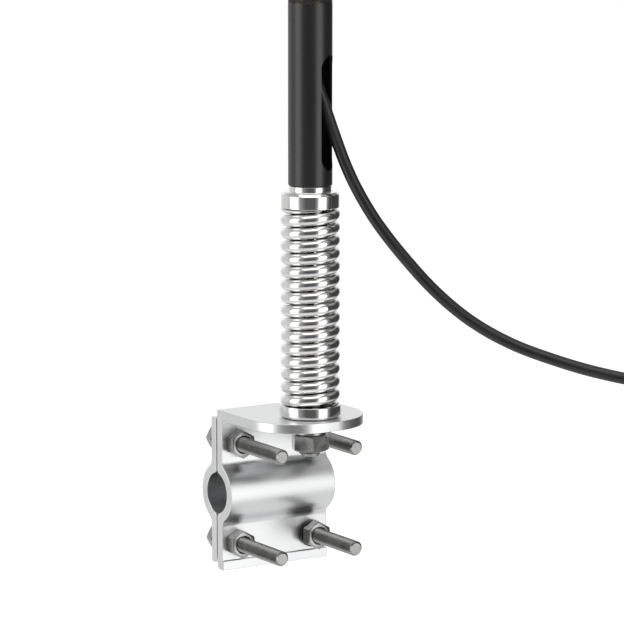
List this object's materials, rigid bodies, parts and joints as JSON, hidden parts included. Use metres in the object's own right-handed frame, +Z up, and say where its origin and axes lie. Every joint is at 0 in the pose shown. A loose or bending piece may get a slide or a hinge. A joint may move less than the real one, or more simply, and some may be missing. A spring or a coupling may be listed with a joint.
{
  "type": "omnidirectional whip antenna",
  "caption": "Black tubular omnidirectional antenna on a coiled spring base, with a bolted bar-clamp bracket and a side-exit coaxial cable ending in a threaded connector.",
  "frame": {"origin": "centre of the passage for the clamped bar, midway between the two jaws", "axes": "+X along the clamped bar, -Y from the jaws to the shelf and the mast, +Z up along the mast"},
  "size_m": [0.2199, 0.2306, 0.6925],
  "materials": {
    "extrusion": "mill-finish extrusion, soft sheen",
    "stainless": "plain stainless fasteners",
    "polished_steel": "polished stainless",
    "copper_braid": "braided copper strands",
    "tube_black": "satin black",
    "cap_black": "moulded black",
    "seal_black": "black rubber",
    "brass": "bright brass",
    "cable_jacket": "satin black jacket",
    "white_plastic": "natural white",
    "strap": "woven hook-and-loop strap",
    "tie_black": "black moulded tie",
    "gold_plate": "gold plate",
    "ferrite": "matt ferrite",
    "foam": "closed-cell foam"
  },
  "bodies": {
    "bracket": {"front_jaw_bracket": "extrusion", "clamp_nut_1": "stainless", "clamp_nut_2": "stainless", "clamp_nut_3": "stainless", "clamp_nut_4": "stainless", "nut_lock_washer_1": "stainless", "nut_lock_washer_2": "stainless", "mounting_stud": "stainless", "stud_spacer": "stainless", "stud_nut": "stainless", "spring_lower_ferrule": "polished_steel"},
    "rear_jaw": {"rear_jaw": "extrusion", "clamp_bolt_1": "stainless", "clamp_bolt_2": "stainless", "clamp_bolt_3": "stainless", "clamp_bolt_4": "stainless", "bolt_flat_washer_1": "stainless", "bolt_flat_washer_2": "stainless", "bolt_flat_washer_3": "stainless", "bolt_flat_washer_4": "stainless", "bolt_spring_washer_1": "stainless", "bolt_spring_washer_2": "stainless", "bolt_spring_washer_3": "stainless", "bolt_spring_washer_4": "stainless"},
    "spring": {"spring_coil": "polished_steel", "ground_braid": "copper_braid"},
    "mast": {"cable_boot": "seal_black", "cable_coil": "cable_jacket", "cable_free_run": "cable_jacket", "cable_tail": "cable_jacket", "coil_belt": "strap", "coil_former": "white_plastic", "coil_tie_bottom": "tie_black", "coil_tie_top": "tie_black", "connector_body": "gold_plate", "connector_dielectric": "white_plastic", "connector_pin": "gold_plate", "crimp_sleeve": "gold_plate", "feed_cable": "cable_jacket", "feed_insulator": "white_plastic", "ferrite_choke_1": "ferrite", "ferrite_choke_2": "ferrite", "ferrite_choke_3": "ferrite", "foam_spacer_1": "foam", "foam_spacer_2": "foam", "foam_spacer_3": "foam", "foam_spacer_4": "foam", "lower_whip": "brass", "phasing_coil": "brass", "radome_tip_cap": "cap_black", "radome_tube": "tube_black", "side_exit_tube": "tube_black", "sleeve_radiator": "brass", "spring_upper_ferrule": "polished_steel", "tail_tie": "tie_black", "tube_coupler": "brass", "tube_seal_ring": "seal_black", "upper_whip": "brass"},
    "coupling_nut": {"coupling_nut": "gold_plate"}
  },
  "joints": [
    {"name": "spring_nod", "type": "hinge", "parent": "bracket", "child": "spring", "pos_m": [0, -0.041, 0.0765], "axis": [1, 0, 0], "range_deg": [-35, 35], "stiffness_Nm_per_rad": 40, "deforming": ["spring_coil", "ground_braid"]},
    {"name": "spring_sway", "type": "hinge", "parent": "spring", "child": "mast", "pos_m": [0, -0.041, 0.1275], "axis": [0, 1, 0], "range_deg": [-35, 35], "stiffness_Nm_per_rad": 40, "deforming": ["spring_coil", "ground_braid"]},
    {"name": "clamp_opening", "type": "slide", "parent": "bracket", "child": "rear_jaw", "axis": [0, 1, 0], "range_m": [0, 0.03]},
    {"name": "coupling_spin", "type": "hinge", "parent": "mast", "child": "coupling_nut", "pos_m": [-0.0126, -0.0307, 0.525], "axis": [0, 0, 1], "continuous": true}
  ]
}
